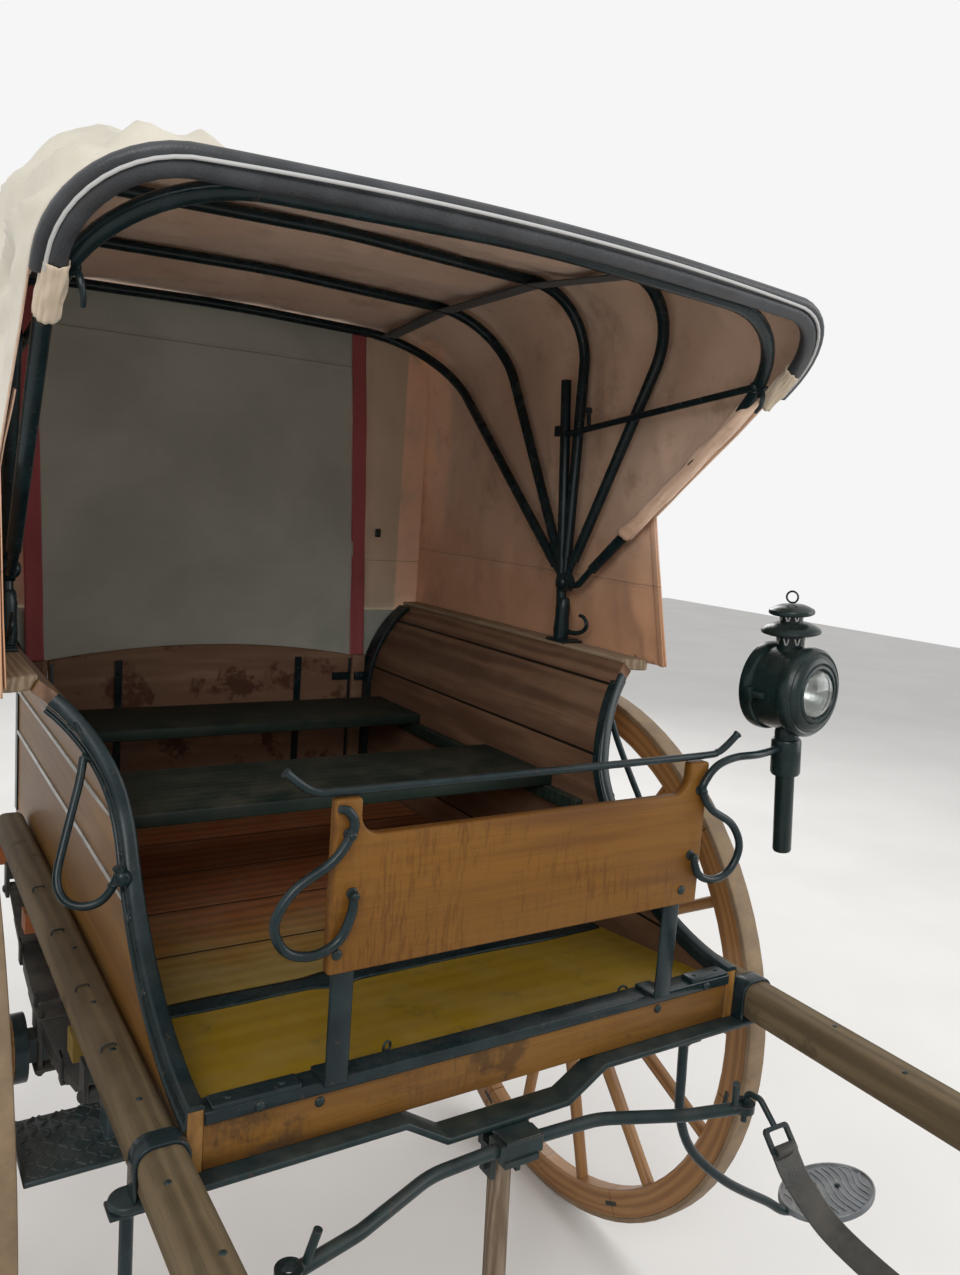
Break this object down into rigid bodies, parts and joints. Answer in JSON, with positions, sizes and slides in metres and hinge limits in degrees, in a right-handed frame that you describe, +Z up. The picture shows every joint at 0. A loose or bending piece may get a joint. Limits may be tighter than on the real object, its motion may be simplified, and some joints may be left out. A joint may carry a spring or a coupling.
{
  "type": "two-wheeled hooded cart",
  "caption": "Two-wheeled country cart for one horse, with rolled-out side boards, bench seats, a canvas hood on fanned bows and a prop pole.",
  "frame": {"origin": "on the ground under the middle of the axle", "axes": "+Z up, the front faces -Y, +X is the cart's own left"},
  "size_m": [1.696, 3.41, 2.2399],
  "materials": {
    "varnished_wood": "varnished honey-orange boards",
    "red_wood": "worn red-brown boards",
    "ochre_paint": "worn yellow ochre paint on boards",
    "bench_wood": "dark green-black paint with worn edges",
    "grey_wood": "weathered bare wood",
    "rail_wood": "bare pale wood",
    "wheel_wood": "varnished natural wood",
    "ironwork": "dark blue-green gloss paint",
    "spring_steel": "dull dark steel",
    "worn_steel": "worn bare steel",
    "tyre_iron": "dusty iron",
    "canvas": "cream canvas",
    "curtain_canvas": "grey-green canvas",
    "red_webbing": "crimson webbing",
    "leather": "dark slate leather",
    "harness_leather": "dark brown leather",
    "lamp_metal": "dark green enamel",
    "lamp_glass": "clear glass"
  },
  "bodies": {
    "cart": {"axle": "ironwork", "bench_front": "bench_wood", "bench_ledgers": "bench_wood", "bench_rear": "bench_wood", "cap_rails": "rail_wood", "crossbar": "ironwork", "curtain_straps": "red_webbing", "dash_stays": "ironwork", "dashboard": "varnished_wood", "edge_irons": "ironwork", "floor": "red_wood", "floor_bearers": "red_wood", "floor_strip": "ironwork", "front_board": "varnished_wood", "grab_handles": "ironwork", "hood_bows": "ironwork", "hood_curtain": "curtain_canvas", "hood_front_band": "leather", "hood_posts": "ironwork", "hood_quarters": "canvas", "hood_roof": "canvas", "hood_side_left": "canvas", "hood_side_right": "canvas", "hood_struts": "ironwork", "lamp_body": "lamp_metal", "lamp_bracket": "ironwork", "lamp_glass": "lamp_glass", "prop_hanger": "ironwork", "rear_irons": "ironwork", "rear_stiles": "red_wood", "rein_rail": "ironwork", "scroll_bracket": "ironwork", "shaft_left": "grey_wood", "shaft_right": "grey_wood", "shaft_straps": "ironwork", "side_panel_left": "varnished_wood", "side_panel_right": "varnished_wood", "sill_iron": "ironwork", "spring_hangers": "spring_steel", "spring_left": "spring_steel", "spring_right": "spring_steel", "steps": "worn_steel", "swingletree_clevis": "ironwork", "tail_hinges": "ironwork", "toe_board": "ochre_paint", "top_board_left": "varnished_wood", "top_board_right": "varnished_wood", "tread_plate": "worn_steel"},
    "wheel_left": {"wheel_tyre_left": "tyre_iron", "wheel_rim_left": "wheel_wood", "wheel_hub_left": "wheel_wood"},
    "wheel_right": {"wheel_tyre_right": "tyre_iron", "wheel_rim_right": "wheel_wood", "wheel_hub_right": "wheel_wood"},
    "swing": {"swingletree": "ironwork", "trace_link": "ironwork", "trace_strap": "harness_leather"},
    "prop": {"prop_pole": "grey_wood"},
    "tail": {"tailboard": "red_wood", "tail_irons": "ironwork"}
  },
  "joints": [
    {"name": "wheel_left_spin", "type": "hinge", "parent": "cart", "child": "wheel_left", "pos_m": [0.68, 0, 0.65], "axis": [1, 0, 0], "continuous": true},
    {"name": "wheel_right_spin", "type": "hinge", "parent": "cart", "child": "wheel_right", "pos_m": [-0.68, 0, 0.65], "axis": [1, 0, 0], "continuous": true},
    {"name": "swing_turn", "type": "hinge", "parent": "cart", "child": "swing", "pos_m": [0, -0.787, 0.775], "axis": [0, 0, 1], "range_deg": [-15, 15]},
    {"name": "prop_fold", "type": "hinge", "parent": "cart", "child": "prop", "pos_m": [0, -0.75, 0.724], "axis": [1, 0, 0], "range_deg": [0, 72]},
    {"name": "tail_drop", "type": "hinge", "parent": "cart", "child": "tail", "pos_m": [0, 0.78, 0.854], "axis": [-1, 0, 0], "range_deg": [0, 95]}
  ]
}
